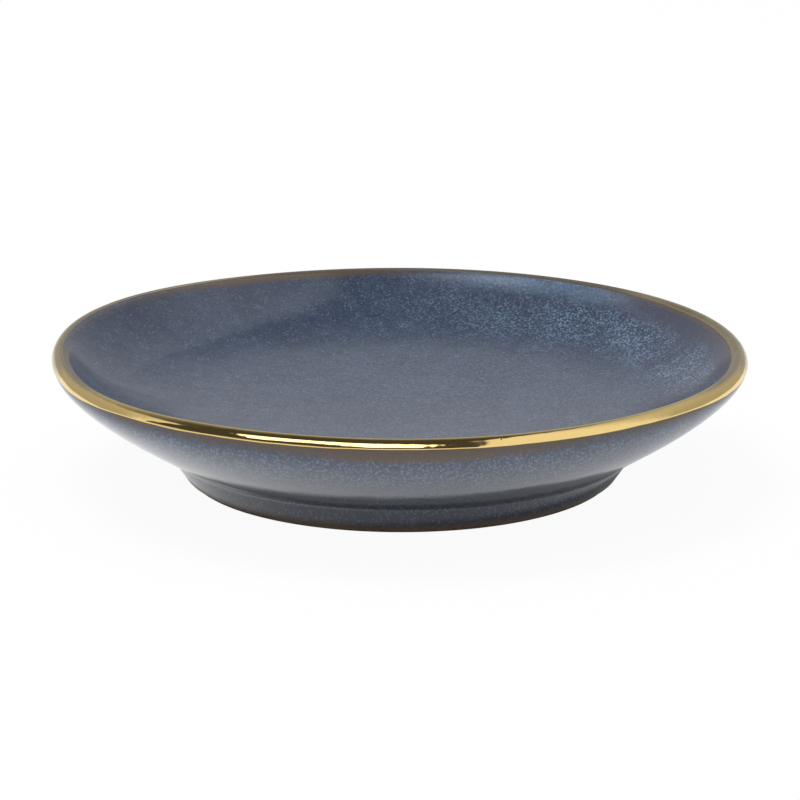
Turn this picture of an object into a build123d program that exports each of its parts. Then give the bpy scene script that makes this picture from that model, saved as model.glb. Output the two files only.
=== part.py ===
from build123d import *
from bisect import bisect_left
from math import asin, cos, degrees, pi, radians, sin
import os

# A hand-finished stoneware ring dish: a shallow well on a tapered foot ring, glazed all over but for the
# face that it stands on, with a band of gold lustre over its lip.
# Lengths are in millimetres. Z is up and the table is Z = 0. The origin is on the table under the middle
# of the rim, and the viewer is on the -Y side.

# Foot ring, and the crease where the wall leaves it
foot_radius = 33.95
foot_ring_width = 4.2
foot_edge_bevel = 0.25
foot_offset = 0.3
crease_flare = 3.15
crease_height = 4.65
crease_round = 3.0

# Wall and lip. The wall leaves the crease straight towards a corner that lies wall_corner_drop under the
# top of the rim, then bows upwards to meet the lip upright.
rim_radius = 54.9
dish_height = 20.35
lip_radius = 1.5
lip_turn = 138
wall_corner_drop = 4.65
wall_straight_share = 0.38
wall_bow_share = 0.6
wall_thickness = 3.3

# Well: a nearly flat floor with a slight bow, and a wall that thickens as it comes down to it
well_floor = 9.9
well_floor_radius = 33.0
well_floor_bow = 360.0
well_flat_radius = 5.0
well_wall_place_share = 0.55
well_wall_depth_share = 1.05

# Recess under the floor
floor_thickness = 4.2
recess_draft = 1.6
recess_round = 2.5

# Glaze, with the dry lines that keep it off the kiln shelf
glaze_thickness = 0.35
glaze_dry_line = 0.6
recess_dry_line = 1.8

# Gold band, from its edge on the outside to its edge inside the lip
gold_thickness = 0.1
gold_drop = 1.75
gold_edge_slope = 0.3
gold_inside_reach = 0.65
gold_inside_offset = -0.5

# The sway of the hand-finished rim: for each number of waves round it, the shares of rim_sway that it
# swings outwards (cosine, sine) and upwards (cosine, sine). The sway dies out towards the crease.
rim_sway = 0.25
sway_shares = (
    (1, (0.00, 0.00), (-0.50, 0.25)),
    (2, (0.00, 0.00), (0.00, -0.70)),
    (3, (-0.35, 0.30), (0.35, 0.90)),
    (4, (0.00, -0.25), (-0.35, -0.25)),
    (5, (0.25, 0.55), (0.50, 0.30)),
    (6, (-0.15, -1.00), (0.00, 0.00)),
)
sway_out_power = 1.5
sway_up_power = 3

# How finely the lofts follow the form. A ring stands at every equal step along the section, which counts
# its length and, so that rings crowd where it bends, bend_reach for each radian that it turns.
ring_points = 40
ring_count = 64
section_steps = 600
bend_reach = 8.0
overrun = 1.0


# The section over the glaze, drawn as radius and height: up the foot's side, out along the wall, over the
# lip, down the inside of the wall and along the floor of the well
crease_radius = foot_radius + crease_flare
crease = Vector(crease_radius, crease_height)
wall_corner = Vector(rim_radius, dish_height - wall_corner_drop)
lip_side = Vector(rim_radius, dish_height - lip_radius)
with BuildLine() as section:
    foot_line = FilletPolyline(
        (foot_radius, 0),
        crease,
        crease + (wall_corner - crease) * wall_straight_share,
        radius=crease_round,
    )
    wall_line = Bezier(
        foot_line @ 1,
        foot_line @ 1 + (wall_corner - foot_line @ 1) * wall_bow_share,
        lip_side + (wall_corner - lip_side) * wall_bow_share,
        lip_side,
    )
    lip_line = CenterArc((rim_radius - lip_radius, dish_height - lip_radius), lip_radius, 0, lip_turn)
    floor_line = JernArc(
        (0, well_floor), (1, 0), well_floor_bow, degrees(asin(well_floor_radius / well_floor_bow))
    )
    wall_along = wall_line % well_wall_place_share
    wall_depth = wall_thickness * well_wall_depth_share
    well_line = Spline(
        lip_line @ 1,
        wall_line @ well_wall_place_share + Vector(-wall_along.Y, wall_along.X) * wall_depth,
        floor_line @ 1,
        tangents=(lip_line % 1, -(floor_line % 1)),
    )
outline = section.wire()

# Where the rings stand on the section, as shares of its length: from the dry line to the well's middle
foot_along = outline % 0
first_place = glaze_dry_line / foot_along.Y / outline.length
last_place = 1 - well_flat_radius / outline.length
steps = [step / section_steps for step in range(section_steps + 1)]
places = [first_place + (last_place - first_place) * step for step in steps]
tangents = [outline % place for place in places]
run = [0]
for near, far in zip(tangents, tangents[1:]):
    run.append(run[-1] + outline.length / section_steps + bend_reach * radians(near.get_angle(far)))
ring_places = []
for count in range(ring_count + 1):
    wanted = run[-1] * (count / ring_count)
    after = max(bisect_left(run, wanted), 1)
    share = (wanted - run[after - 1]) / (run[after] - run[after - 1])
    ring_places.append(places[after - 1] + (places[after] - places[after - 1]) * share)


def ring(radius, height, swing=1, offset=0):
    """One closed line round the dish in two halves, which sways as the rim does at that radius."""
    reach = max(radius - crease_radius, 0) / (rim_radius - crease_radius)
    middle = offset + foot_offset * (1 - min(reach, 1) ** sway_out_power)
    points = []
    for step in range(ring_points):
        turn = 2 * pi * step / ring_points
        out = up = 0
        for waves, (out_cos, out_sin), (up_cos, up_sin) in sway_shares:
            out += out_cos * cos(waves * turn) + out_sin * sin(waves * turn)
            up += up_cos * cos(waves * turn) + up_sin * sin(waves * turn)
        swayed = radius + swing * rim_sway * out * reach**sway_out_power
        raised = height + swing * rim_sway * up * reach**sway_up_power
        points.append(Vector(middle + swayed * cos(turn), swayed * sin(turn), raised))
    half = ring_points // 2
    knots = [step / half for step in range(half + 1)]
    ends = [(points[place + 1] - points[place - 1]).normalized() for place in (0, half)]
    return Wire(
        [
            Edge.make_spline(points[: half + 1], tangents=ends, parameters=knots),
            Edge.make_spline(points[half:] + points[:1], tangents=ends[::-1], parameters=knots),
        ]
    )


def turned_form(growth):
    """The dish above its dry line as one solid, with its skin grown square to itself by that much."""
    rings = [ring((outline @ first_place).X + growth / foot_along.Y, glaze_dry_line)]
    for place in ring_places[1:]:
        point = outline @ place
        along = outline % place
        rings.append(ring(point.X + growth * along.Y, point.Y - growth * along.X))
    return Solid.make_loft(rings)


clay_form = turned_form(-glaze_thickness)
glazed_form = turned_form(0)
gold_form = turned_form(gold_thickness)

# What the gold may cover: a lid over the dish with a skirt down the outside of the lip. Its lower face
# slopes up inwards, so that it meets the skin about square.
gold_edge = dish_height - gold_drop
gold_inside_radius = rim_radius - lip_radius - gold_inside_reach
gold_zone = Solid.make_loft(
    [
        ring(rim_radius + overrun, dish_height + 3 * overrun, swing=0),
        ring(rim_radius + overrun, gold_edge - gold_edge_slope * overrun),
        ring(
            gold_inside_radius,
            gold_edge + gold_edge_slope * (rim_radius - gold_inside_radius),
            offset=gold_inside_offset,
        ),
        ring(gold_inside_radius, dish_height + 2 * overrun, swing=0, offset=gold_inside_offset),
    ],
    ruled=True,
)

# The bottom of the foot, from the dry line to the table, and the recess inside it
clay_side = (outline @ first_place).X - glaze_thickness / foot_along.Y
clay_foot = clay_side - glaze_dry_line * foot_along.X / foot_along.Y
recess_ceiling = well_floor - floor_thickness
recess_radius = foot_radius - foot_ring_width
foot_plane = Plane(origin=(foot_offset, 0, 0), x_dir=(1, 0, 0), z_dir=(0, -1, 0))
foot_axis = Axis((foot_offset, 0, 0), (0, 0, 1))


foot_face = Solid.make_loft(
    [
        ring(clay_foot - foot_edge_bevel, 0),
        ring(clay_foot + foot_edge_bevel * foot_along.X / foot_along.Y, foot_edge_bevel),
        ring(clay_side, glaze_dry_line),
    ],
    ruled=True,
)


def recess_plug(inset, bottom):
    """What fills the recess from that height up, drawn in by the inset on its side and its ceiling."""
    with BuildPart() as plug:
        with BuildSketch(foot_plane) as side:
            with BuildLine():
                Polyline(
                    (0, bottom),
                    (recess_radius - recess_draft * bottom / recess_ceiling - inset, bottom),
                    (recess_radius - recess_draft - inset, recess_ceiling - inset),
                    (0, recess_ceiling - inset),
                    close=True,
                )
            make_face()
            corner = side.vertices().group_by(Axis.Y)[-1].sort_by(Axis.X)[-1]
            fillet(corner, recess_round - inset)
        revolve(axis=foot_axis)
    return plug.part


# The fired clay: floor, wall and foot ring in one, hollow under the floor
with BuildPart() as stoneware_body:
    add(clay_form)
    add(foot_face)
    add(recess_plug(0, -overrun), mode=Mode.SUBTRACT)

# The glaze over the well, the lip and the outside, down to its dry line above the table
with BuildPart() as glaze_coat:
    add(glazed_form)
    add(clay_form, mode=Mode.SUBTRACT)

# The glaze inside the foot ring, down to a dry line of its own
with BuildPart() as recess_glaze:
    add(recess_plug(0, recess_dry_line))
    add(recess_plug(glaze_thickness, recess_dry_line - overrun), mode=Mode.SUBTRACT)

# The band of gold over the lip
with BuildPart() as gold_rim:
    add(gold_form)
    add(gold_zone, mode=Mode.INTERSECT)
    add(glazed_form, mode=Mode.SUBTRACT)

os.makedirs("parts", exist_ok=True)
pieces = {
    "stoneware_body": stoneware_body,
    "glaze_coat": glaze_coat,
    "recess_glaze": recess_glaze,
    "gold_rim": gold_rim,
}
for name, piece in pieces.items():
    piece.part.label = name
    export_step(piece.part, f"parts/{name}.step")
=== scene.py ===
"""Dresses a ring dish on its packed frame: dense turned skins for the clay, the glaze and the gold, their
materials, and a plain studio with a camera at the photograph's angle.

Lengths in the form are metres. The origin is on the table under the middle of the rim, Z is up and the
viewer is on the -Y side."""

from bisect import bisect_left
from collections import namedtuple
from math import acos, asin, cos, hypot, pi, radians, sin, tau

import bpy
from bpy.props import FloatProperty, FloatVectorProperty, IntProperty, PointerProperty
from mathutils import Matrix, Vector, noise


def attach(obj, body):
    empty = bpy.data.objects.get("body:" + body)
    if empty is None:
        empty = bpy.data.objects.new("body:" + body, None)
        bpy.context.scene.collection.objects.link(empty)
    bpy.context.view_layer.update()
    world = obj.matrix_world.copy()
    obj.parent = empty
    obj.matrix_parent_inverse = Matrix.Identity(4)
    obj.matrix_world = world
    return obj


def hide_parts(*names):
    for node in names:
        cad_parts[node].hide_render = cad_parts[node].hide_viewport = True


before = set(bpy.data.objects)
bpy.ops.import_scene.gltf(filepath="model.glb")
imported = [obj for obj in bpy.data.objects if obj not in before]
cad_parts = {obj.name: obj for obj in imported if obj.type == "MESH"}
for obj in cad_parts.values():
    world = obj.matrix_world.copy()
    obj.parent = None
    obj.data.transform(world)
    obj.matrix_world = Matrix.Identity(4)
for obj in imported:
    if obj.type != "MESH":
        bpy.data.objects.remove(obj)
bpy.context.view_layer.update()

bl_info = {
    "name": "Ring dish",
    "version": (1, 0, 0),
    "blender": (4, 5, 0),
    "location": "3D View > Sidebar > Ring dish",
    "description": "Builds a glazed stoneware ring dish with a gold lustre rim",
    "category": "Add Mesh",
}

# The sway of the hand-finished rim: for each number of waves round it, the shares of the sway that it
# swings outwards (cosine, sine) and upwards (cosine, sine)
SWAY_SHARES = (
    (1, (0.00, 0.00), (-0.50, 0.25)),
    (2, (0.00, 0.00), (0.00, -0.70)),
    (3, (-0.35, 0.30), (0.35, 0.90)),
    (4, (0.00, -0.25), (-0.35, -0.25)),
    (5, (0.25, 0.55), (0.50, 0.30)),
    (6, (-0.15, -1.00), (0.00, 0.00)),
)

# A length too small to matter, and the gap that keeps the clay and the floor clear of what lies on them
TINY = 1e-7
GAP = 0.00002

# Over this length the painted gold thins to nothing at its edges
GOLD_EDGE = 0.00018

# Rings over the recess's ceiling, round the foot's outer edge, round the glaze's rolled edges and across
# the gold, and the way to the lip that the recess is given
CEILING_RINGS = 8
BEVEL_RINGS = 8
ROLL_RINGS = 6
GOLD_RINGS = 44
FAR_FROM_LIP = 0.02

# Sizes of what varies over the glaze, the gold and the clay
GLAZE_STREAK = 0.0011
GLAZE_PATCH = 0.0022
GLAZE_CLOUD = 0.011
GLAZE_PIT_SPACING = 0.0055
GOLD_BRUSH = 0.0035
GOLD_RIPPLE = 0.0026
GOLD_SWELL = 0.011
GOLD_PIT_SPACING = 0.0016
CLAY_GRAIN = 0.0007
CLAY_CLOUD = 0.006
CLAY_PORE_SPACING = 0.0013

# The floor, the lamp above the dish and the camera's film
FLOOR_REACH = 3.0
LAMP_PLACE = (-0.25, 0.15, 0.9)
LAMP_SIZE = 0.5
SENSOR_WIDTH = 36
CAMERA_SHIFT = (0.00075, 0.0117)


def length(name, description, default):
    """A size in metres that a user can change."""
    return FloatProperty(name=name, description=description, default=default, unit="LENGTH", precision=5)


def angle(name, description, default):
    """An angle in degrees that a user can change."""
    return FloatProperty(name=name, description=description, default=radians(default), subtype="ANGLE")


def colour(name, description, default):
    """A linear colour that a user can change."""
    return FloatVectorProperty(
        name=name, description=description, default=default, subtype="COLOR", size=3, min=0, max=1
    )


def share(name, description, default, low=0, high=1):
    """A plain number that a user can change."""
    return FloatProperty(name=name, description=description, default=default, min=low, max=high)


class RingDishForm(bpy.types.PropertyGroup):
    """Sizes of the turned form."""

    foot_radius: length("Foot radius", "Radius of the foot where it stands on the table", 0.03395)
    foot_ring_width: length("Foot ring width", "Width of the bare face of the foot ring", 0.0042)
    foot_bevel: length("Foot bevel", "Bevel round the bottom of the foot", 0.00025)
    foot_offset: length("Foot offset", "How far the foot stands to the right of the rim's middle", 0.0003)
    crease_flare: length("Crease flare", "How much wider the crease is than the foot", 0.00315)
    crease_height: length("Crease height", "Height where the wall leaves the foot", 0.00465)
    crease_round: length("Crease round", "Radius in the crease", 0.003)
    rim_radius: length("Rim radius", "Radius over the lip", 0.0549)
    dish_height: length("Height", "Height of the lip before it sways", 0.02035)
    lip_radius: length("Lip radius", "Radius of the rolled lip", 0.0015)
    lip_turn: angle("Lip turn", "How far round the lip is rolled", 138)
    corner_drop: length("Corner drop", "Where the wall aims at the rim, under its top", 0.00465)
    straight: share("Straight share", "Share of the wall that leaves the crease straight", 0.38)
    bow: share("Bow share", "How tightly the wall bows up into the lip", 0.6)
    wall_thickness: length("Wall thickness", "Thickness of the wall", 0.0033)
    wall_place: share("Wall place", "Share of the bowed wall where its thickness is set", 0.55)
    wall_swell: share("Wall swell", "How much thicker the wall is there", 1.05, 0.5, 2)
    well_floor: length("Well floor", "Height of the well's floor in the middle", 0.0099)
    well_floor_radius: length("Well floor radius", "Radius of the nearly flat floor", 0.033)
    well_floor_bow: length("Well floor bow", "Radius of the floor's slight bow", 0.36)
    floor_thickness: length("Floor thickness", "Thickness of the floor over the recess", 0.0042)
    recess_draft: length("Recess draft", "How much narrower the recess is at its ceiling", 0.0016)
    recess_round: length("Recess round", "Radius round the recess's ceiling", 0.0025)
    sway: length("Rim sway", "How far the hand-finished rim swings", 0.00025)
    turns: IntProperty(name="Turns", description="Points round the dish", default=384, min=48, max=1024)
    rows: IntProperty(name="Rows", description="Rings along the section", default=170, min=40, max=600)


class RingDishGlaze(bpy.types.PropertyGroup):
    """Sizes and colours of the glaze."""

    thickness: length("Glaze thickness", "Thickness of the glaze over the clay", 0.00035)
    dry_line: length("Dry line", "Height over the table where the outer glaze ends", 0.0006)
    recess_dry_line: length("Recess dry line", "Height where the glaze inside the foot ends", 0.0018)
    grain: length("Grain", "Size of the glaze's crystals", 0.00036)
    deep: colour("Deep glaze", "Colour between the crystals", (0.036, 0.048, 0.083))
    crystal: colour("Crystals", "Colour of the crystals", (0.088, 0.118, 0.178))
    # The crystals' colour, also used for the painted sheen inside the far lip and on the upper wall outside
    pale_and_sheen: colour("Pale crystals", "Colour of the crystals where they crowd", (0.20, 0.29, 0.42))
    violet: colour("Violet", "Colour of the glaze beside the pale crystals", (0.060, 0.055, 0.085))
    brown: colour("Brown", "Colour where the glaze thins over an edge", (0.124, 0.084, 0.045))
    # Darker colour mixed into the glaze round the foot
    foot_dark: colour("Pooled glaze", "Colour of the thick glaze round the foot", (0.016, 0.024, 0.047))
    dark_brown: colour("Dark brown", "Colour of the thin glaze at the foot", (0.140, 0.100, 0.066))


class RingDishGold(bpy.types.PropertyGroup):
    """Sizes and colours of the gold band."""

    thickness: length("Gold thickness", "Thickness of the band over the glaze", 0.0001)
    drop: length("Gold drop", "How far the band comes down outside the lip", 0.00175)
    inside_reach: length("Gold inside reach", "How far the band reaches inside the lip", 0.00065)
    inside_offset: length("Gold inside offset", "How far its inner edge lies off centre", -0.0005)
    near_lift: length("Near lift", "How much higher the brush stopped on the viewer's side", 0.0004)
    wobble: length("Brush wobble", "How far the painted edges wander", 0.00007)
    gold: colour("Gold", "Colour of the lustre", (0.91, 0.67, 0.27))
    edge: colour("Gold edge", "Colour where the lustre thins at its edges", (0.20, 0.12, 0.045))
    # Darker, duller gold: painted shade at the sides of the lip
    dull_shade: colour("Worn gold", "Colour of the duller lustre inside the lip at the sides", (0.43, 0.37, 0.25))
    dry: colour("Dry gold", "Colour where the brush ran dry inside the far lip", (0.105, 0.088, 0.066))


class RingDishClay(bpy.types.PropertyGroup):
    """Colours of the bare clay."""

    tan: colour("Tan clay", "Colour of the bare fired clay", (0.22, 0.16, 0.10))
    burnt: colour("Burnt clay", "Colour of its darker grains", (0.10, 0.07, 0.045))


class RingDishStage(bpy.types.PropertyGroup):
    """The camera and the light."""

    distance: length("Camera distance", "From the camera to the middle of the dish", 0.7)
    elevation: angle("Camera elevation", "How far the camera looks down", 15.46)
    lens: FloatProperty(name="Lens", description="Focal length in millimetres", default=198.43)
    floor_shade: share("Floor shade", "How much of its shadow the white floor shows", 0.055)
    mirrored_floor: share("Mirrored floor", "How bright the floor is in the glaze and the gold", 0.99)
    sky: share("Sky", "Light that comes from all round", 0.62, 0, 4)
    window: share("Window", "How bright the large light is that the gold mirrors", 2.8, 0, 4)
    side_light: share("Side lights", "How bright the lights at the sides are in the gold", 0.88, 0, 4)
    back_light: share("Back light", "How bright the low wall behind is in the glaze", 0.445, 0, 4)
    dark: share("Dark room", "How bright the room between the lights is", 0.06, 0, 4)
    lamp: FloatProperty(name="Lamp", description="Power of the lamp above", default=5.5, unit="POWER")


# The turned form


def along(start, end, amount):
    """The point that share of the way from one point of the section to another."""
    return (start[0] + (end[0] - start[0]) * amount, start[1] + (end[1] - start[1]) * amount)


def unit(start, end):
    """The direction from one point of the section to another."""
    across, up = end[0] - start[0], end[1] - start[1]
    size = hypot(across, up)
    return (across / size, up / size)


def arc(centre, radius, start, end, count=120):
    """Points on an arc of the section between two angles."""
    turns = [start + (end - start) * step / count for step in range(count + 1)]
    return [(centre[0] + radius * cos(turn), centre[1] + radius * sin(turn)) for turn in turns]


def bowed(poles, count=300):
    """Points on the cubic curve with those four poles."""
    points = []
    for step in range(count + 1):
        t = step / count
        weights = ((1 - t) ** 3, 3 * t * (1 - t) ** 2, 3 * t**2 * (1 - t), t**3)
        points.append(tuple(sum(w * pole[axis] for w, pole in zip(weights, poles)) for axis in (0, 1)))
    return points


def rounded(before, corner, after, radius, count=24):
    """Points on the round in a corner of the section."""
    first, second = unit(before, corner), unit(corner, after)
    turn = acos(first[0] * second[0] + first[1] * second[1])
    side = 1 if first[0] * second[1] - first[1] * second[0] > 0 else -1
    back = radius * (1 - cos(turn)) / sin(turn)
    start = (corner[0] - first[0] * back, corner[1] - first[1] * back)
    centre = (start[0] - first[1] * radius * side, start[1] + first[0] * radius * side)
    arm = (start[0] - centre[0], start[1] - centre[1])
    points = []
    for step in range(count + 1):
        bend = side * turn * step / count
        points.append(
            (
                centre[0] + arm[0] * cos(bend) - arm[1] * sin(bend),
                centre[1] + arm[0] * sin(bend) + arm[1] * cos(bend),
            )
        )
    return points


def well_curve(start, middle, end, start_way, end_way, count=200):
    """A smooth curve through three points of the section with set directions at its ends."""
    near = hypot(middle[0] - start[0], middle[1] - start[1])
    far = hypot(end[0] - middle[0], end[1] - middle[1])
    whole = near + far
    ends = []
    for way, at in ((start_way, 0), (end_way, whole)):
        pull = [
            start[axis] * (2 * at - near - whole) / (near * whole)
            - middle[axis] * (2 * at - whole) / (near * far)
            + end[axis] * (2 * at - near) / (whole * far)
            for axis in (0, 1)
        ]
        scale = (abs(pull[0]) + abs(pull[1])) / (abs(way[0]) + abs(way[1]))
        ends.append((way[0] * scale, way[1] * scale))
    passing = []
    for axis in (0, 1):
        rise = 3 * ((middle[axis] - start[axis]) / near**2 + (end[axis] - middle[axis]) / far**2)
        rise -= ends[0][axis] / near + ends[1][axis] / far
        passing.append(rise / (2 / near + 2 / far))
    points = []
    for span, (low, high, low_way, high_way) in (
        (near, (start, middle, ends[0], passing)),
        (far, (middle, end, passing, ends[1])),
    ):
        for step in range(count + 1):
            t = step / count
            low_part, low_pull = 2 * t**3 - 3 * t**2 + 1, t**3 - 2 * t**2 + t
            high_part, high_pull = 3 * t**2 - 2 * t**3, t**3 - t**2
            points.append(
                tuple(
                    low_part * low[axis]
                    + low_pull * span * low_way[axis]
                    + high_part * high[axis]
                    + high_pull * span * high_way[axis]
                    for axis in (0, 1)
                )
            )
    return points


def measure(points):
    """The way along the section to each of its points."""
    ways = [0]
    for near, far in zip(points, points[1:]):
        ways.append(ways[-1] + hypot(far[0] - near[0], far[1] - near[1]))
    return ways


def place_on(points, ways, way):
    """The point that far along the section."""
    after = min(max(bisect_left(ways, way), 1), len(ways) - 1)
    amount = (way - ways[after - 1]) / (ways[after] - ways[after - 1])
    return along(points[after - 1], points[after], amount)


# One ring on the section: its radius and height, the section's direction there and the way to it
Row = namedtuple("Row", "radius height across up way")


def row_at(points, ways, way, reach=4e-5):
    """The ring that far along the section, with the direction over a short reach on both sides."""
    back = place_on(points, ways, max(way - reach, 0))
    on = place_on(points, ways, min(way + reach, ways[-1]))
    return Row(*place_on(points, ways, way), *unit(back, on), way)


def dish_section(form, dry_line):
    """The section over the glaze as close points, from its dry line to the middle of the well."""
    foot = (form.foot_radius, 0)
    crease = (form.foot_radius + form.crease_flare, form.crease_height)
    corner = (form.rim_radius, form.dish_height - form.corner_drop)
    start = along(foot, crease, dry_line / form.crease_height)
    wall_start = along(crease, corner, form.straight)
    lip_centre = (form.rim_radius - form.lip_radius, form.dish_height - form.lip_radius)
    lip_side = (form.rim_radius, lip_centre[1])
    poles = (wall_start, along(wall_start, corner, form.bow), along(lip_side, corner, form.bow), lip_side)
    wall = bowed(poles)
    lip = arc(lip_centre, form.lip_radius, 0, form.lip_turn)
    floor_turn = asin(form.well_floor_radius / form.well_floor_bow)
    floor_centre = (0, form.well_floor + form.well_floor_bow)
    floor = arc(floor_centre, form.well_floor_bow, floor_turn - pi / 2, -pi / 2)

    # The well's side passes the point where the wall has its set thickness
    wall_ways = measure(wall)
    outside = row_at(wall, wall_ways, wall_ways[-1] * form.wall_place, 1e-5)
    depth = form.wall_thickness * form.wall_swell
    inside = (outside.radius - outside.up * depth, outside.height + outside.across * depth)
    lip_way = (-sin(form.lip_turn), cos(form.lip_turn))
    floor_way = (-cos(floor_turn), -sin(floor_turn))
    well = well_curve(lip[-1], inside, floor[0], lip_way, floor_way)
    foot_side = rounded(foot, crease, corner, form.crease_round)
    points = [start] + foot_side + [wall_start] + wall[1:] + lip[1:] + well[1:] + floor[1:]
    return [point for point, last in zip(points, [None] + points) if point != last]


def rows_of(points, count, bend_reach=0.006):
    """Rings on the section at equal steps of its length and, so that they crowd where it bends, of its
    bends."""
    ways = measure(points)
    units = [unit(near, far) for near, far in zip(points, points[1:])]
    run = [0]
    for index, (near, far) in enumerate(zip(ways, ways[1:])):
        before = units[max(index - 1, 0)]
        bend = abs(asin(max(min(before[0] * units[index][1] - before[1] * units[index][0], 1), -1)))
        run.append(run[-1] + far - near + bend_reach * bend)
    rows = []
    for step in range(count + 1):
        wanted = run[-1] * step / count
        after = min(max(bisect_left(run, wanted), 1), len(run) - 1)
        amount = (wanted - run[after - 1]) / (run[after] - run[after - 1])
        way = ways[after - 1] + (ways[after] - ways[after - 1]) * amount
        rows.append(row_at(points, ways, way))
    return rows


def way_to(points, ways, height):
    """How far along the section it first comes to a height."""
    return next(way for way, point in zip(ways, points) if point[1] >= height)


def swayed(form, radius, height, turn):
    """A point of the section turned round the dish, swayed as the rim does at its radius."""
    crease_radius = form.foot_radius + form.crease_flare
    reach = max(radius - crease_radius, 0) / (form.rim_radius - crease_radius)
    out = up = 0
    for waves, (out_cos, out_sin), (up_cos, up_sin) in SWAY_SHARES:
        out += out_cos * cos(waves * turn) + out_sin * sin(waves * turn)
        up += up_cos * cos(waves * turn) + up_sin * sin(waves * turn)
    middle = form.foot_offset * (1 - min(reach, 1) ** 1.5)
    wide = radius + form.sway * out * reach**1.5
    return Vector((middle + wide * cos(turn), wide * sin(turn), height + form.sway * up * reach**3))


def turned(name, form, rings, marks=None):
    """A mesh with one ring of points for each function that gives a radius and height at a turn. Rings on
    the axis become one point, and marks are numbers kept on each ring's points."""
    points, faces, starts = [], [], []
    values = {key: [] for key in (marks or {})}
    for index, ring in enumerate(rings):
        starts.append(len(points))
        on_axis = ring(0)[0] <= TINY
        for step in range(1 if on_axis else form.turns):
            turn = tau * step / form.turns
            radius, height = ring(turn)
            points.append(swayed(form, radius, height, turn))
            for key, numbers in values.items():
                numbers.append(marks[key][index](turn))
    starts.append(len(points))
    for near, far, end in zip(starts, starts[1:], starts[2:]):
        for step in range(form.turns):
            on = (step + 1) % form.turns
            if far - near == 1:
                faces.append((near, far + on, far + step))
            elif end - far == 1:
                faces.append((near + step, near + on, far))
            else:
                faces.append((near + step, near + on, far + on, far + step))
    mesh = bpy.data.meshes.new(name)
    mesh.from_pydata(points, [], faces)
    mesh.validate()
    mesh.shade_smooth()
    for key, numbers in values.items():
        mesh.attributes.new(key, "FLOAT", "POINT").data.foreach_set("value", numbers)
    piece = bpy.data.objects.new(name, mesh)
    bpy.context.collection.objects.link(piece)
    return piece


def finish_piece(piece, node, material):
    """Puts a piece in the place of a CAD node, with its finish."""
    piece.data.materials.append(material)
    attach(piece, "root")
    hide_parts(node)


# Shaders


class Value:
    """A socket's value in a shader. Arithmetic on it adds Math nodes."""

    def __init__(self, shader, socket):
        self.shader = shader
        self.socket = socket

    def math(self, operation, *others, clamp=False):
        """This value put through a Math node with others."""
        sockets = dict(enumerate((self,) + others))
        return self.shader.node("ShaderNodeMath", {"operation": operation, "use_clamp": clamp}, sockets)

    def __add__(self, other):
        return self.math("ADD", other)

    def __sub__(self, other):
        return self.math("SUBTRACT", other)

    def __rsub__(self, other):
        return (self * -1) + other

    def __mul__(self, other):
        return self.math("MULTIPLY", other)

    def __truediv__(self, other):
        return self.math("DIVIDE", other)

    __radd__ = __add__
    __rmul__ = __mul__

    def clamped(self):
        """This value kept from 0 to 1."""
        return self.math("ADD", 0, clamp=True)


def from_axis(x, y):
    """How far a place is from an upright axis, by its two level parts."""
    return (x * x + y * y).math("SQRT")


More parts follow.
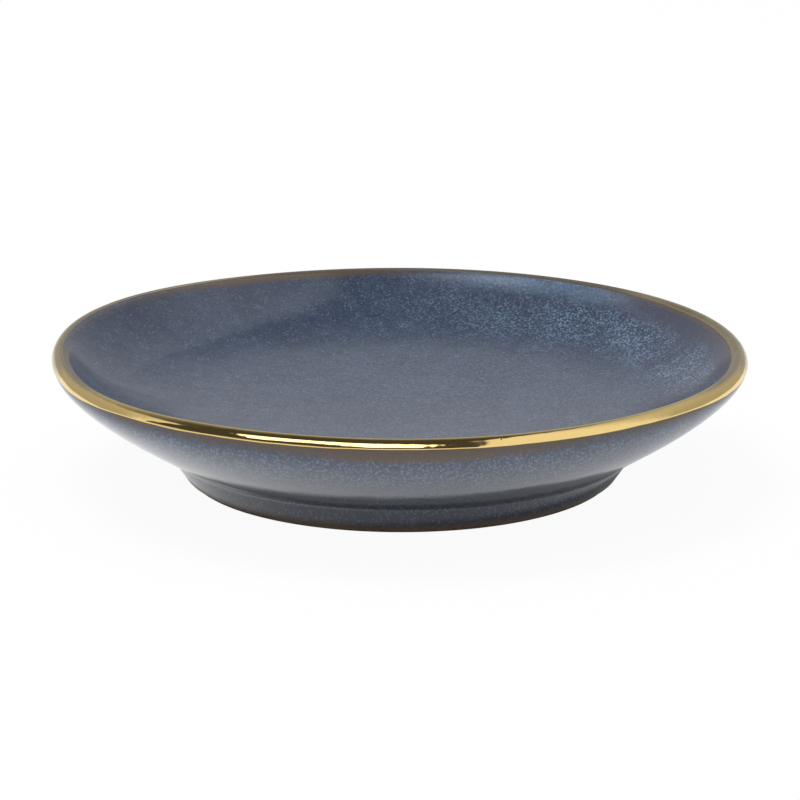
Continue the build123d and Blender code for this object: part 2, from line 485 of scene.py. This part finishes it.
class Shader:
    """The nodes of one material or of the world."""

    def __init__(self, owner):
        owner.use_nodes = True
        self.tree = owner.node_tree
        self.tree.nodes.clear()

    def node(self, kind, settings=None, sockets=None, output=0):
        """Adds a node with its settings and the values or links of its sockets, and gives its output."""
        made = self.tree.nodes.new(kind)
        for key, value in (settings or {}).items():
            setattr(made, key, value)
        for key, value in (sockets or {}).items():
            socket = made.inputs[key]
            if isinstance(value, Value):
                self.tree.links.new(value.socket, socket)
            elif socket.type == "RGBA":
                socket.default_value = (*value, 1)
            else:
                socket.default_value = value
        return Value(self, made.outputs[output]) if made.outputs else None

    def mix(self, factor, first, second):
        """Two colours mixed."""
        settings = {"data_type": "RGBA", "clamp_factor": True}
        return self.node("ShaderNodeMix", settings, {0: factor, 6: first, 7: second}, output=2)

    def smooth(self, value, low, high, start=0, end=1):
        """A value eased from start to end as another goes from low to high."""
        settings = {"interpolation_type": "SMOOTHSTEP"}
        sockets = {"Value": value, "From Min": low, "From Max": high, "To Min": start, "To Max": end}
        return self.node("ShaderNodeMapRange", settings, sockets)

    def sweep(self, turn, low, high, start=0, end=1):
        """A value eased from start to end as an angle goes from low to high, in degrees."""
        return self.smooth(turn, radians(low), radians(high), start, end)

    def noise(self, vector, size, detail=2, roughness=0.5, distortion=0):
        """Noise whose lumps are about that size."""
        sockets = {
            "Vector": vector,
            "Scale": 1 / size,
            "Detail": detail,
            "Roughness": roughness,
            "Distortion": distortion,
        }
        return self.node("ShaderNodeTexNoise", {}, sockets)

    def cells(self, vector, size):
        """The distance from the middle of the nearest of scattered cells."""
        return self.node("ShaderNodeTexVoronoi", {}, {"Vector": vector, "Scale": 1 / size})

    def mark(self, name):
        """A number kept on the mesh."""
        return self.node("ShaderNodeAttribute", {"attribute_name": name}, output="Fac")

    def position(self):
        """The place on the object, which sits at the origin."""
        return self.node("ShaderNodeTexCoord", output="Object")

    def ray(self, kind):
        """1 for rays of that kind."""
        return self.node("ShaderNodeLightPath", output=f"Is {kind} Ray")

    def seen(self):
        """1 for what the camera sees, straight or through glass."""
        return (self.ray("Camera") + self.ray("Transmission")).clamped()

    def parts(self, vector):
        """The three parts of a vector."""
        return [self.node("ShaderNodeSeparateXYZ", {}, {0: vector}, axis) for axis in "XYZ"]

    def joined(self, x, y, z):
        """A vector from three values."""
        return self.node("ShaderNodeCombineXYZ", {}, {0: x, 1: y, 2: z})

    def bump(self, height, depth, strength=1, normal=None):
        """A normal shaped by a height between 0 and 1, that many metres deep."""
        sockets = {"Strength": strength, "Distance": depth, "Height": height}
        if normal:
            sockets["Normal"] = normal
        return self.node("ShaderNodeBump", {}, sockets)

    def surface(self, **sockets):
        """Ends a material in one Principled shader."""
        named = {key.replace("_", " "): value for key, value in sockets.items()}
        finish = self.node("ShaderNodeBsdfPrincipled", {}, named)
        self.node("ShaderNodeOutputMaterial", {}, {"Surface": finish})


def glaze_material(glaze, name):
    """Reactive glaze: blue crystals over a deep ground, crowding on one side of the well, thinning to
    brown over the lip and the foot, with streaks where it ran."""
    material = bpy.data.materials.new(name)
    s = Shader(material)
    place = s.position()
    x, y, z = s.parts(place)
    radius = from_axis(x, y)
    turn = y.math("ARCTAN2", x)

    # The way along the section to the lip's top is below nothing in the well
    lip = s.mark("lip_way")
    inside = s.smooth(lip, -0.0004, 0.0004, 1, 0)
    outside = 1 - inside

    # Streaks run down the wall, so their noise is long along the section and short round it
    round_way = s.joined(x / radius * 0.05, y / radius * 0.05, lip * 0.12)
    streaks = s.noise(round_way, GLAZE_STREAK, 3, 0.6)
    broad = s.noise(place, GLAZE_CLOUD, 2, 0.5, 0.6)
    patches = s.noise(place, GLAZE_PATCH, 2, 0.5)

    # The crystals are cut from a leaning block, so that the level floor shows no rows of them
    leaning = s.joined(x, y * 0.6, z + x * 0.3 + y * 0.4)
    grains = s.noise(leaning, glaze.grain * 1.3, 2, 0.6)
    specks = s.cells(leaning, glaze.grain * 1.3)
    shine = s.noise(leaning, glaze.grain * 4, 1, 0.5)
    dots = s.smooth(grains, 0.38, 0.66) * 0.5 + s.smooth(specks, 0.62, 0.20) * 0.5

    # Where they crowd: a band along the wall on the right of the well, fed by its streaks
    side = s.sweep(turn, -28, 12) * s.sweep(turn, 98, 36)
    band = s.smooth(radius, 0.038, 0.046) * s.smooth(radius + streaks * 0.002, 0.0520, 0.0495)
    fed = s.smooth(broad * 0.6 + streaks * 0.4, 0.35, 0.70)
    crowd = (side * band * inside * fed).clamped()

    # Violet above that band, and on the well's wall at the near right
    above = side * inside * s.smooth(radius, 0.0488, 0.0512) * s.sweep(turn, 62, 30)
    near_side = inside * s.smooth(x, 0.036, 0.045) * s.smooth(y, 0.008, -0.004)

    # A light strip inside the far lip, crystals with a painted sheen; specks with a painted sheen on the
    # upper wall outside; and darker glaze round the foot
    crest_sheen = inside * s.smooth(radius, 0.0495, 0.0519) * s.sweep(turn, 38, 52) * s.sweep(turn, 88, 68)
    frost_sheen = outside * s.smooth(lip, 0.003, 0.005) * s.smooth(lip, 0.016, 0.011)
    foot = outside * s.smooth(z, 0.0064, 0.0046)

    # The grain shows most on the right and on the well's floor
    contrast = s.smooth(x, -0.030, 0.025, 0.30, 0.48) + inside * s.smooth(radius, 0.037, 0.030, 0, 0.18)
    density = dots * (contrast + crowd * 0.2) + patches * 0.38 + broad * 0.43 - foot * 0.38
    ground = s.mix(s.smooth(density, 0.17, 1.14), glaze.deep, glaze.crystal)
    ground = s.mix((above * 0.6 + near_side * 0.4).clamped(), ground, glaze.violet)

    # Pale crystals, scattered thinly all over and heaped where they crowd, and the painted sheen inside the
    # far lip and on the upper wall outside
    lively = s.smooth(shine + crowd * 0.3 + (frost_sheen + foot) * 0.2, 0.42, 0.70)
    scatter = s.smooth(specks, 0.50, 0.16) * lively * (1 - above * 0.7)
    paleness = 0.28 + crowd * 0.44 + frost_sheen * 0.24 + foot * 0.15
    ground = s.mix(scatter * paleness, ground, glaze.pale_and_sheen)
    heap_and_sheen = crowd * s.smooth(dots, 0.12, 0.95) * 0.66 + crest_sheen * (0.30 + dots * 0.30)
    ground = s.mix((heap_and_sheen + frost_sheen * dots * 0.16).clamped(), ground, glaze.pale_and_sheen)
    # Darker round the foot
    ground = s.mix(foot * (1 - scatter) * 0.45, ground, glaze.foot_dark)

    # Brown where the glaze thins: under the gold, wider in front, inside the lip and at the foot
    ragged = (streaks - 0.5) * 0.0016 + (broad - 0.5) * 0.0016
    front = s.sweep((turn + radians(88)).math("ABSOLUTE"), 34, 4)
    under_gold = s.smooth(lip + ragged - front * 0.0016, 0.0038, 0.0018) * s.smooth(lip, 0, 0.0005)
    far_lip = s.sweep(turn, 70, 105) * s.sweep(turn, 152, 118, 0.25, 1)
    over_lip = s.smooth(lip * -1 + ragged * 0.4, 0.0022, 0.0012) * inside
    over_lip = over_lip * (far_lip + s.sweep(turn, 60, 30) * 0.8)
    tint = s.mix((under_gold * 0.78 + over_lip * 0.8).clamped(), ground, glaze.brown)
    at_foot = s.smooth(z + ragged * 0.6, 0.0024, 0.0008) * outside
    tint = s.mix(at_foot * 0.92, tint, glaze.dark_brown)

    pits = s.smooth(s.cells(place, GLAZE_PIT_SPACING), 0.05, 0)
    matt = inside * s.smooth(radius, 0.033, 0.042) * s.sweep(turn, 150, 115)
    gloss = 0.085 + s.smooth(grains, 0.45, 0.75) * 0.05 + under_gold * 0.04 + matt * 0.09
    level = s.bump(grains * 0.6 + patches * 0.4, 0.00001, 0.4)
    level = s.bump(broad, 0.00025, 0.30, level)
    level = s.bump(1 - pits, 0.00006, 0.6, level)
    s.surface(Base_Color=tint, Roughness=gloss, Normal=level)
    return material


def gold_material(gold):
    """Bright lustre over the glaze: mirror-like, slightly rippled, with pits and brush marks."""
    material = bpy.data.materials.new("gold_lustre")
    s = Shader(material)
    place = s.position()
    x, y, _ = s.parts(place)
    radius = from_axis(x, y)
    turn = y.math("ARCTAN2", x)
    lip = s.mark("lip_way")
    round_way = s.joined(x / radius * 0.055, y / radius * 0.055, lip * 3)
    brush = s.noise(round_way, GOLD_BRUSH, 2, 0.5)
    ripple = s.noise(place, GOLD_RIPPLE, 1, 0.4)
    swell = s.noise(place, GOLD_SWELL, 1, 0.4)
    pits = s.smooth(s.cells(place, GOLD_PIT_SPACING), 0.16, 0.04) * s.smooth(swell, 0.50, 0.62)

    # Darker and duller inside the lip at the sides and all over at its two ends, with painted shade, and
    # dry inside the far lip
    wide = x.math("ABSOLUTE")
    dull_shade = s.smooth(wide + y * 0.4, 0.030, 0.042) * s.smooth(lip, 0.0010, 0.0002)
    dull_shade = dull_shade.math("MAXIMUM", s.smooth(wide, 0.0480, 0.0500) * s.smooth(y, -0.016, -0.008) * 0.8)
    far = s.sweep(turn, 28, 50) * s.sweep(turn, 138, 110)
    dry = far * s.smooth(lip + brush * 0.0004, 0.0010, 0.0003)
    tint = s.mix(s.smooth(s.mark("edge"), 0.9, 0.2) * 0.65, gold.gold, gold.edge)
    tint = s.mix(dull_shade * 0.85, tint, gold.dull_shade)
    tint = s.mix(dry, tint, gold.dry)

    level = s.bump(ripple, 0.00009, 0.6)
    level = s.bump(swell, 0.00030, 0.45, level)
    level = s.bump(brush, 0.00003, 0.5, level)
    level = s.bump(1 - pits, 0.00005, 0.7, level)
    rough = 0.055 + pits * 0.12 + s.smooth(brush, 0.45, 0.75) * 0.04 + dry * 0.3 + dull_shade * 0.22
    s.surface(Base_Color=tint, Metallic=1 - dry, Roughness=rough, Normal=level)
    return material


def clay_material(clay):
    """Bare fired stoneware: dry tan clay with darker grains and tiny pores."""
    material = bpy.data.materials.new("bare_clay")
    s = Shader(material)
    place = s.position()
    grains = s.noise(place, CLAY_GRAIN, 3, 0.7)
    broad = s.noise(place, CLAY_CLOUD, 2, 0.5)
    pores = s.smooth(s.cells(place, CLAY_PORE_SPACING), 0.12, 0.03)
    tint = s.mix(s.smooth(grains * 0.7 + broad * 0.5, 0.45, 0.85), clay.tan, clay.burnt)
    tint = s.mix(pores * 0.7, tint, clay.burnt)
    level = s.bump(grains, 0.00008, 0.6)
    level = s.bump(1 - pores, 0.00010, 0.6, level)
    s.surface(Base_Color=tint, Roughness=0.85 - grains * 0.15, Normal=level)
    return material


def floor_material(stage):
    """White as the camera sees it, with a little of its shadow. What the glaze and the gold mirror of it
    darkens near the dish, more on the right, and is nearly dark where the foot meets it."""
    material = bpy.data.materials.new("white_floor")
    s = Shader(material)
    x, y, _ = s.parts(s.position())
    # Painted shadow in what the glaze and the gold mirror: darker near the dish, more on the right, and
    # nearly dark round the foot
    near = s.smooth(from_axis(x - 0.012, y - 0.003), 0.034, 0.060, 0.60, 1)
    contact_shadow = s.smooth(from_axis(x - 0.0011, y), 0.0348, 0.0361, 0.10, 1)
    mirrored = s.ray("Glossy") * near * contact_shadow * stage.mirrored_floor
    matte = s.node("ShaderNodeBsdfDiffuse", {}, {"Color": (0.86, 0.86, 0.86)})
    white = s.node("ShaderNodeEmission", {}, {"Color": (1, 1, 1), "Strength": 1})
    shares = {0: s.seen() * (1 - stage.floor_shade) + mirrored, 1: matte, 2: white}
    shown = s.node("ShaderNodeMixShader", {}, shares)
    s.node("ShaderNodeOutputMaterial", {}, {"Surface": shown})
    return material


def studio_world(stage):
    """An even sky that lights the dish, white behind it, and the studio that the gold and the glaze mirror:
    a window in front on the left, a light on each side and the low wall behind."""
    world = bpy.data.worlds.new("studio")
    s = Shader(world)
    x, y, z = s.parts(s.node("ShaderNodeTexCoord", output="Generated"))
    height = z.math("ARCSINE")
    side = x.math("ARCTAN2", y * -1)

    # The window and the side lights lie on a ceiling one unit above the dish, which a ray meets so far
    # to the right and to the back
    rise = z.math("MAXIMUM", 0.02)
    right, back = x / rise, y / rise
    left_edge = s.smooth(right - back * 0.566, -0.58, -0.50)
    bent = s.smooth(back, -0.38, -0.14) * 0.38 - s.smooth(back, -0.3, -0.65) * 0.19
    right_edge = s.smooth(right + bent, -0.02, -0.07)
    front_edge = s.smooth(back + s.smooth(right, -0.52, -0.44) * 0.75, -0.88, -0.80)
    window = left_edge * right_edge * front_edge * s.smooth(back, -0.07, -0.23)
    lean = back.math("MINIMUM", 0) * 0.35 - back.math("MAXIMUM", 0) * 0.12
    right_light = s.smooth(right + lean, 0.165, 0.245) * s.smooth(back, 0.2, 0.9, 1, 0.62)
    left_light = s.smooth(right, -0.72, -0.90) * s.smooth(back, 0.06, 0.16)
    left_light = left_light * s.smooth(back, 0.2, 0.9, 1, 0.58)

    # A low, dimmer light in front on the left, and the wall behind, brightest at its foot
    low = s.sweep(side, -24, -34) * s.sweep(height, 20, 14) * 0.55
    low = low * s.smooth(y, 0.1, 0) * (1 - left_light)
    sides = (left_light + right_light).clamped() + low
    behind = s.smooth(y, 0, 0.3) * s.sweep(height, 62, 13)
    lights = window * stage.window + sides * stage.side_light + stage.dark
    mirrored = behind * stage.back_light + (1 - behind) * lights

    seen = s.seen()
    glossy = s.ray("Glossy")
    level = seen + (1 - seen) * (glossy * mirrored + (1 - glossy) * stage.sky)
    light = s.node("ShaderNodeBackground", {}, {"Color": (1, 1, 1), "Strength": level})
    s.node("ShaderNodeOutputWorld", {}, {"Surface": light})
    return world


# Operators


def grown(row, growth):
    """A ring of the section moved square to it, as the function of turn that a turned mesh takes."""
    return lambda turn: (row.radius + growth * row.up, row.height - growth * row.across)


def fixed(radius, height):
    """A level ring."""
    return lambda turn: (radius, height)


class RING_DISH_OT_clay(bpy.types.Operator):
    """Turn the clay body, with its bare foot ring and its recess"""

    bl_idname = "ring_dish.clay"
    bl_label = "Clay"

    def execute(self, context):
        form, glaze = context.scene.ring_dish_form, context.scene.ring_dish_glaze
        points = dish_section(form, glaze.dry_line)
        rows = rows_of(points, form.rows // 2)
        skin = -glaze.thickness - GAP
        first = rows[0]
        side = first.radius + skin / first.up
        bottom = side - first.across / first.up * glaze.dry_line
        ceiling = form.well_floor - form.floor_thickness
        recess = form.foot_radius - form.foot_ring_width
        top = recess - form.recess_draft
        curve = rounded((recess, 0), (top, ceiling), (0, ceiling), form.recess_round)

        # The foot's face is bevelled towards the recess and rounded outside
        bevel = form.foot_bevel
        inner = [(0, ceiling)] + curve[::-1] + [(recess - bevel * 0.3, bevel), (recess + bevel, 0)]
        rim = rounded((recess, 0), (bottom, 0), (side, glaze.dry_line), bevel * 1.6, BEVEL_RINGS)
        rings = [fixed(*point) for point in inner + rim + [(side, glaze.dry_line)]]
        rings += [grown(row, skin) for row in rows[1:]]
        rings[-1] = fixed(0, form.well_floor + skin)
        piece = turned("clay_body", form, rings)
        finish_piece(piece, "stoneware_body", clay_material(context.scene.ring_dish_clay))
        return {"FINISHED"}


class RING_DISH_OT_glaze(bpy.types.Operator):
    """Lay the glaze over the well, the lip and the outside, and another coat inside the foot"""

    bl_idname = "ring_dish.glaze"
    bl_label = "Glaze"

    def execute(self, context):
        form, glaze = context.scene.ring_dish_form, context.scene.ring_dish_glaze
        points = dish_section(form, glaze.dry_line)
        rows = rows_of(points, form.rows)
        ways = measure(points)
        lip_way = way_to(points, ways, form.dish_height - TINY)

        # The coat's edge rolls down onto the clay at the dry line
        roll = glaze.thickness
        rings, starts = [], []
        for step in range(ROLL_RINGS + 1):
            turn = pi / 2 * step / ROLL_RINGS
            starts.append(roll * (1 - cos(turn)))
            rings.append(grown(row_at(points, ways, starts[-1]), -roll * (1 - sin(turn))))
        rows = [row for row in rows if row.way > roll * 1.3]
        starts += [row.way for row in rows]
        rings += [grown(row, 0) for row in rows]
        rings[-1] = fixed(0, form.well_floor)
        marks = {"lip_way": [lambda turn, way=way: lip_way - way for way in starts]}
        piece = turned("glaze_skin", form, rings, marks=marks)
        finish_piece(piece, "glaze_coat", glaze_material(glaze, "reactive_glaze"))

        ceiling = form.well_floor - form.floor_thickness - glaze.thickness
        recess = form.foot_radius - form.foot_ring_width
        low = recess - form.recess_draft * glaze.recess_dry_line / (ceiling + glaze.thickness)
        top = recess - form.recess_draft - glaze.thickness
        curve = rounded(
            (low - glaze.thickness, glaze.recess_dry_line),
            (top, ceiling),
            (0, ceiling),
            form.recess_round - glaze.thickness,
        )
        lining = [(curve[-1][0] * step / CEILING_RINGS, ceiling) for step in range(CEILING_RINGS)]
        lining += curve[::-1] + [(low - glaze.thickness, glaze.recess_dry_line + roll)]
        lining += arc((low, glaze.recess_dry_line + roll), roll, pi, 1.5 * pi, ROLL_RINGS)[1:]
        rings = [fixed(*point) for point in lining]
        marks = {"lip_way": [lambda turn: FAR_FROM_LIP] * len(rings)}
        piece = turned("recess_skin", form, rings, marks=marks)
        finish_piece(piece, "recess_glaze", glaze_material(glaze, "recess_glaze_finish"))
        return {"FINISHED"}


class RING_DISH_OT_gold(bpy.types.Operator):
    """Paint the band of gold over the lip, with hand-painted edges"""

    bl_idname = "ring_dish.gold"
    bl_label = "Gold"

    def execute(self, context):
        form, glaze = context.scene.ring_dish_form, context.scene.ring_dish_glaze
        gold = context.scene.ring_dish_gold
        points = dish_section(form, glaze.dry_line)
        ways = measure(points)
        lip_way = way_to(points, ways, form.dish_height - TINY)
        low_way = way_to(points, ways, form.dish_height - gold.drop)
        inner = form.rim_radius - form.lip_radius - gold.inside_reach

        def edges(turn):
            """Where the band starts outside and ends inside, at a turn round the dish."""
            seed = Vector((cos(turn) * 6, sin(turn) * 6, 0))
            outer_wander = noise.noise(seed) + 0.6 * noise.noise(seed * 3.1)
            inner_wander = noise.noise(seed + Vector((0, 0, 9))) + 0.6 * noise.noise(seed * 3.3)
            radius = inner + gold.inside_offset * cos(turn) + gold.wobble * inner_wander
            end = next(way for way, point in zip(ways, points) if way > lip_way and point[0] <= radius)

            # The brush stopped higher on the viewer's side
            near = min(max((-sin(turn) - 0.35) / 0.30, 0), 1)
            lift = gold.near_lift * near * near * (3 - 2 * near)
            return low_way + lift + gold.wobble * (outer_wander + 1), end

        painted = [edges(tau * step / form.turns) for step in range(form.turns)]

        def band(turn, amount):
            """A ring's radius and height there, its way to the lip and how far it is from an edge."""
            start, end = painted[round(turn / tau * form.turns) % form.turns]
            way = start + (end - start) * amount
            depth = min(way - start, end - way) / GOLD_EDGE
            place = grown(row_at(points, ways, way), gold.thickness * min(depth * 1.1 - 0.3, 0.8))
            return (*place(turn), lip_way - way, min(depth, 1))

        rings, marks = [], {"lip_way": [], "edge": []}
        for step in range(GOLD_RINGS + 1):
            amount = (1 - cos(pi * step / GOLD_RINGS)) / 2
            rings.append(lambda turn, amount=amount: band(turn, amount)[:2])
            marks["lip_way"].append(lambda turn, amount=amount: band(turn, amount)[2])
            marks["edge"].append(lambda turn, amount=amount: band(turn, amount)[3])
        piece = turned("gold_band", form, rings, marks=marks)
        finish_piece(piece, "gold_rim", gold_material(gold))
        return {"FINISHED"}


class RING_DISH_OT_stage(bpy.types.Operator):
    """Set the dish on a white floor in soft studio light, in front of the camera"""

    bl_idname = "ring_dish.stage"
    bl_label = "Stage"

    def execute(self, context):
        scene, stage = context.scene, context.scene.ring_dish_stage
        middle = Vector((0, 0, scene.ring_dish_form.dish_height / 2))

        corners = ((-1, -1), (1, -1), (1, 1), (-1, 1))
        mesh = bpy.data.meshes.new("floor")
        mesh.from_pydata([(x * FLOOR_REACH, y * FLOOR_REACH, 0) for x, y in corners], [], [(0, 1, 2, 3)])
        mesh.materials.append(floor_material(stage))
        floor = bpy.data.objects.new("floor", mesh)
        floor.location.z = -GAP
        scene.collection.objects.link(floor)
        scene.world = studio_world(stage)

        light = bpy.data.lights.new("lamp", "AREA")
        light.shape = "DISK"
        light.size = LAMP_SIZE
        light.energy = stage.lamp
        lamp = bpy.data.objects.new("lamp", light)
        lamp.location = LAMP_PLACE
        lamp.rotation_euler = (middle - lamp.location).to_track_quat("-Z", "Y").to_euler()
        lamp.visible_glossy = False
        scene.collection.objects.link(lamp)

        eye = bpy.data.cameras.new("camera")
        eye.sensor_width = SENSOR_WIDTH
        eye.lens = stage.lens
        eye.shift_x, eye.shift_y = CAMERA_SHIFT
        camera = bpy.data.objects.new("camera", eye)
        arm = Vector((0, -cos(stage.elevation), sin(stage.elevation))) * stage.distance
        camera.location = middle + arm
        camera.rotation_euler = (-arm).to_track_quat("-Z", "Y").to_euler()
        scene.collection.objects.link(camera)
        scene.camera = camera
        scene.view_settings.view_transform = "Standard"
        return {"FINISHED"}


class RING_DISH_PT_panel(bpy.types.Panel):
    """The dish's pieces and their sizes"""

    bl_idname = "RING_DISH_PT_panel"
    bl_label = "Ring dish"
    bl_space_type = "VIEW_3D"
    bl_region_type = "UI"
    bl_category = "Ring dish"

    def draw(self, context):
        for operator in OPERATORS:
            self.layout.operator(operator.bl_idname)
        for key, group in GROUPS.items():
            column = self.layout.column(heading=group.__doc__)
            for name in group.__annotations__:
                column.prop(getattr(context.scene, key), name)


GROUPS = {
    "ring_dish_form": RingDishForm,
    "ring_dish_glaze": RingDishGlaze,
    "ring_dish_gold": RingDishGold,
    "ring_dish_clay": RingDishClay,
    "ring_dish_stage": RingDishStage,
}
OPERATORS = (RING_DISH_OT_clay, RING_DISH_OT_glaze, RING_DISH_OT_gold, RING_DISH_OT_stage)


def register():
    """Adds the groups, operators and panel to Blender."""
    for key, group in GROUPS.items():
        bpy.utils.register_class(group)
        setattr(bpy.types.Scene, key, PointerProperty(type=group))
    for operator in OPERATORS:
        bpy.utils.register_class(operator)
    bpy.utils.register_class(RING_DISH_PT_panel)


def unregister():
    """Takes them out again."""
    bpy.utils.unregister_class(RING_DISH_PT_panel)
    for operator in reversed(OPERATORS):
        bpy.utils.unregister_class(operator)
    for key, group in reversed(GROUPS.items()):
        delattr(bpy.types.Scene, key)
        bpy.utils.unregister_class(group)


def main():
    """Builds every piece and the stage, and writes the sizes of the frame and of the dressed dish."""
    register()
    for operator in OPERATORS:
        family, name = operator.bl_idname.split(".")
        getattr(getattr(bpy.ops, family), name)()


if __name__ == "__main__":
    main()
